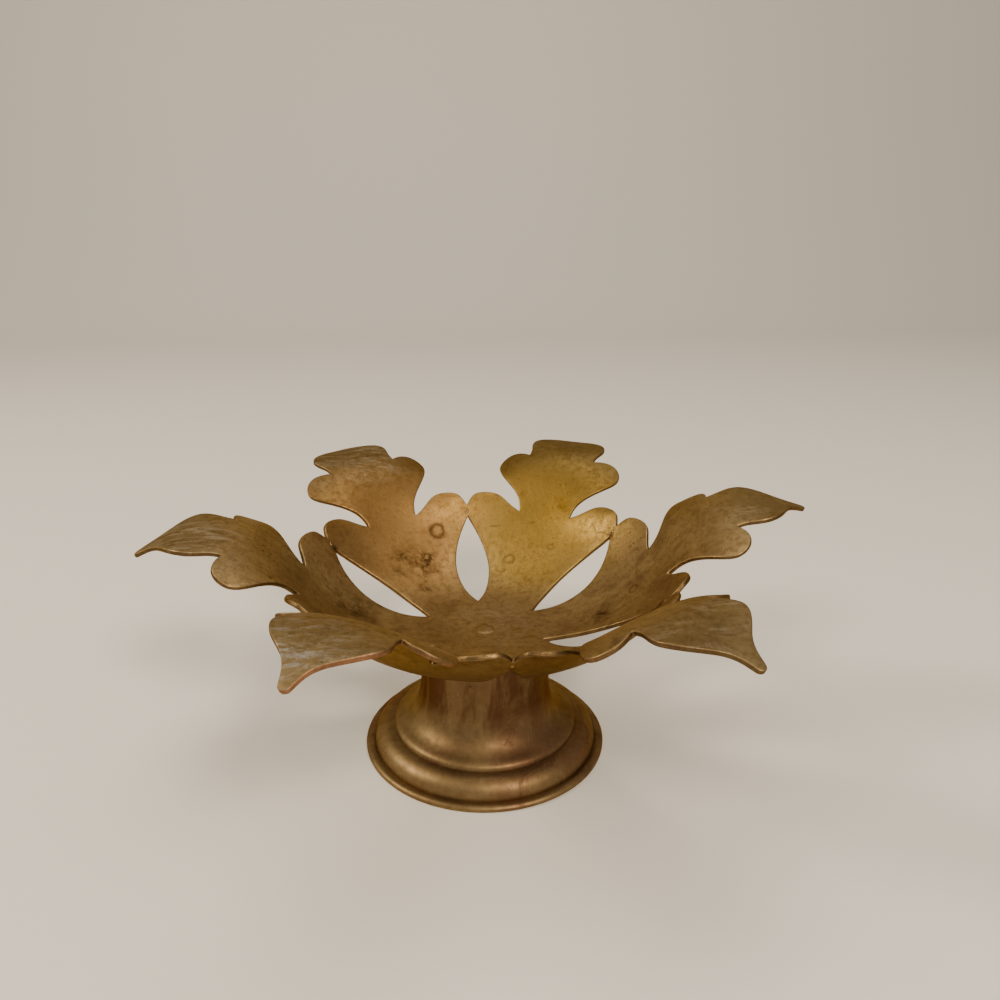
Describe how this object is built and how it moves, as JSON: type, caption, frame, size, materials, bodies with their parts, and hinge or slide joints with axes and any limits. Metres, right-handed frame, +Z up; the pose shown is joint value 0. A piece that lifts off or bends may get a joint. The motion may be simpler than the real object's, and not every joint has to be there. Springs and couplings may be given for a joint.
{
  "type": "footed leaf bowl",
  "caption": "Shallow brass dish of pierced acanthus leaves on a hollow turned pedestal foot, for sweets, fruit, soap or a candle.",
  "frame": {"origin": "centre of the foot's seating ring, on the surface the bowl stands on", "axes": "+Z up along the axis of the turned foot; +X along the middle of leaf 0"},
  "size_m": [0.2328, 0.202, 0.0887],
  "materials": {
    "leaf_brass": "aged satin, stained",
    "foot_brass": "aged satin, darker",
    "braze": "rough, pitted"
  },
  "bodies": {
    "root": {"leaf_bowl": "leaf_brass", "pedestal_foot": "foot_brass", "neck_braze": "braze", "lobe_braze_beads": "braze"}
  },
  "joints": []
}
